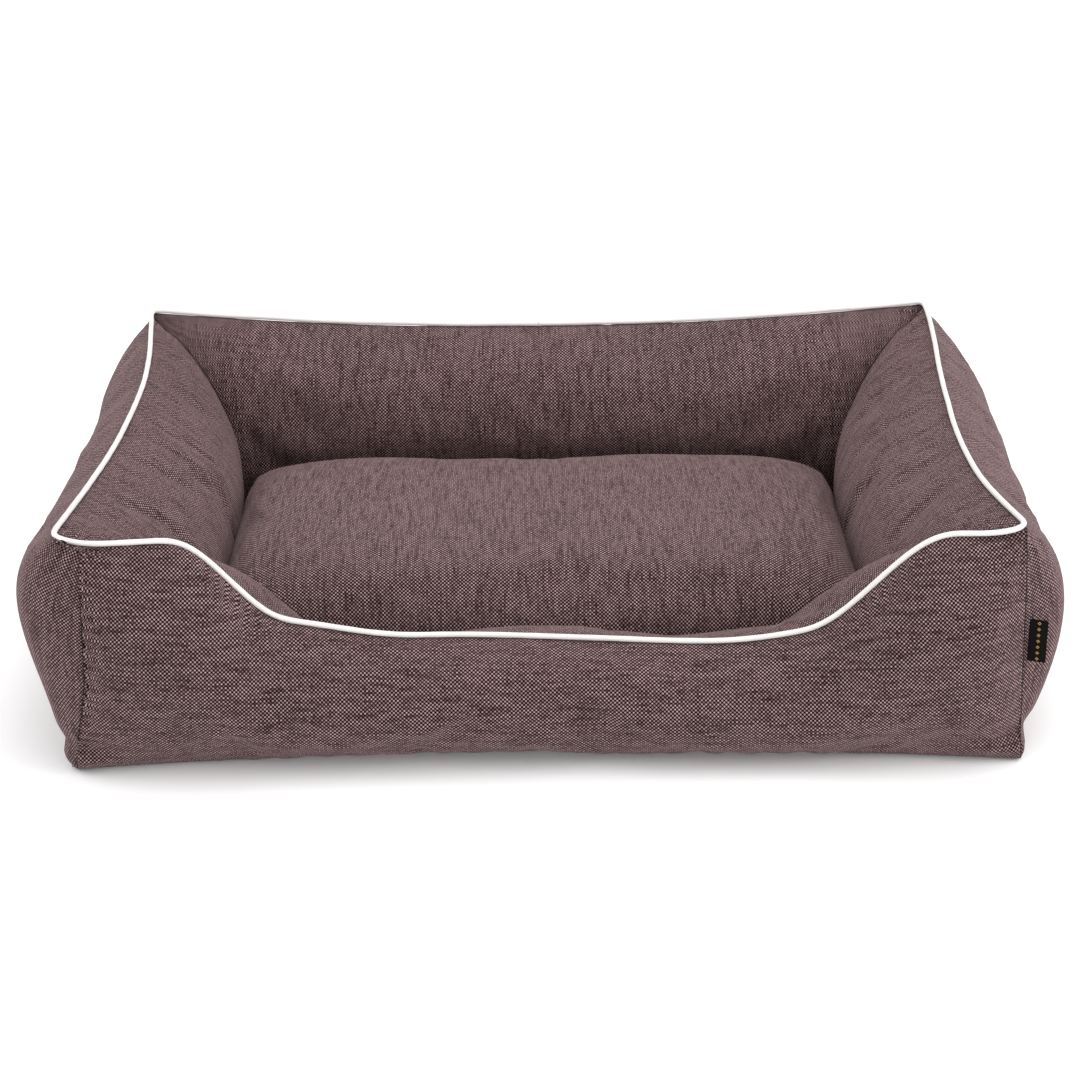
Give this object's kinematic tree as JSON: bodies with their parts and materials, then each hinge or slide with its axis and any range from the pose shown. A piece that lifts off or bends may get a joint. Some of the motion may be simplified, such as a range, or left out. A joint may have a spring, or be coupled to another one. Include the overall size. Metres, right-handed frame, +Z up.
{
  "type": "pet cushion bed",
  "caption": "Rectangular pet bed: a ring of stuffed cloth bolsters with a scooped front and a piped ridge round a lift-out mattress, on a non-slip sheet.",
  "frame": {"origin": "on the floor, under the middle of the bed's overall box", "axes": "+X to the right along the low front wall, +Y to the back, +Z up"},
  "size_m": [1.0402, 0.7243, 0.2495],
  "materials": {
    "hopsack_cloth": "dark plum-brown hopsack weave, pale and dark yarns in a fine check",
    "fibre_fill": "loose white polyester fibre",
    "piping_cloth": "smooth white piping cloth",
    "cord_core": "twisted white cord inside the piping",
    "nonslip_sheet": "black cloth with small rubber grip dots",
    "lining_cloth": "plain black lining cloth",
    "label_weave": "black satin-woven tab",
    "zip_tape": "dark brown woven zip tape",
    "zip_coil": "dark brown nylon coil",
    "zip_metal": "dark brown lacquered zinc"
  },
  "bodies": {
    "surround": {"outer_panel_front": "hopsack_cloth", "outer_panel_back": "hopsack_cloth", "outer_panel_left": "hopsack_cloth", "outer_panel_right": "hopsack_cloth", "inner_panel_front": "hopsack_cloth", "inner_panel_back": "hopsack_cloth", "inner_panel_left": "hopsack_cloth", "inner_panel_right": "hopsack_cloth", "bolster_fill_front": "fibre_fill", "bolster_fill_back": "fibre_fill", "bolster_fill_left": "fibre_fill", "bolster_fill_right": "fibre_fill", "piping_cord": "cord_core", "piping_cover": "piping_cloth", "nonslip_base": "nonslip_sheet", "floor_panel": "lining_cloth", "cover_zip_tape_a": "zip_tape", "cover_zip_tape_b": "zip_tape", "cover_zip_coil_a": "zip_coil", "cover_zip_coil_b": "zip_coil", "cover_zip_stops": "zip_metal"},
    "mattress": {"mattress_top_panel": "hopsack_cloth", "mattress_bottom_panel": "hopsack_cloth", "mattress_fill": "fibre_fill", "mattress_zip_tape_a": "zip_tape", "mattress_zip_tape_b": "zip_tape", "mattress_zip_coil_a": "zip_coil", "mattress_zip_coil_b": "zip_coil", "mattress_zip_stops": "zip_metal"},
    "mattress_slider": {"mattress_zip_slider": "zip_metal"},
    "cover_slider": {"cover_zip_slider": "zip_metal"},
    "cover_pull": {"cover_zip_pull": "zip_metal"},
    "label": {"label_tab": "label_weave"}
  },
  "joints": [
    {"name": "mattress_lift", "type": "slide", "parent": "surround", "child": "mattress", "axis": [0, 0, 1], "range_m": [0, 0.3]},
    {"name": "mattress_zip_slide", "type": "slide", "parent": "mattress", "child": "mattress_slider", "axis": [-1, 0, 0], "range_m": [0, 0.468]},
    {"name": "cover_zip_slide", "type": "slide", "parent": "surround", "child": "cover_slider", "axis": [-1, 0, 0], "range_m": [0, 0.468]},
    {"name": "cover_pull_swing", "type": "hinge", "parent": "cover_slider", "child": "cover_pull", "pos_m": [0.234, 0.181, 0.009], "axis": [0, 1, 0], "range_deg": [0, 150]},
    {"name": "label_flap", "type": "hinge", "parent": "surround", "child": "label", "pos_m": [0.4485, -0.3455, 0.1295], "axis": [0, 0, 1], "range_deg": [-75, 0]}
  ]
}
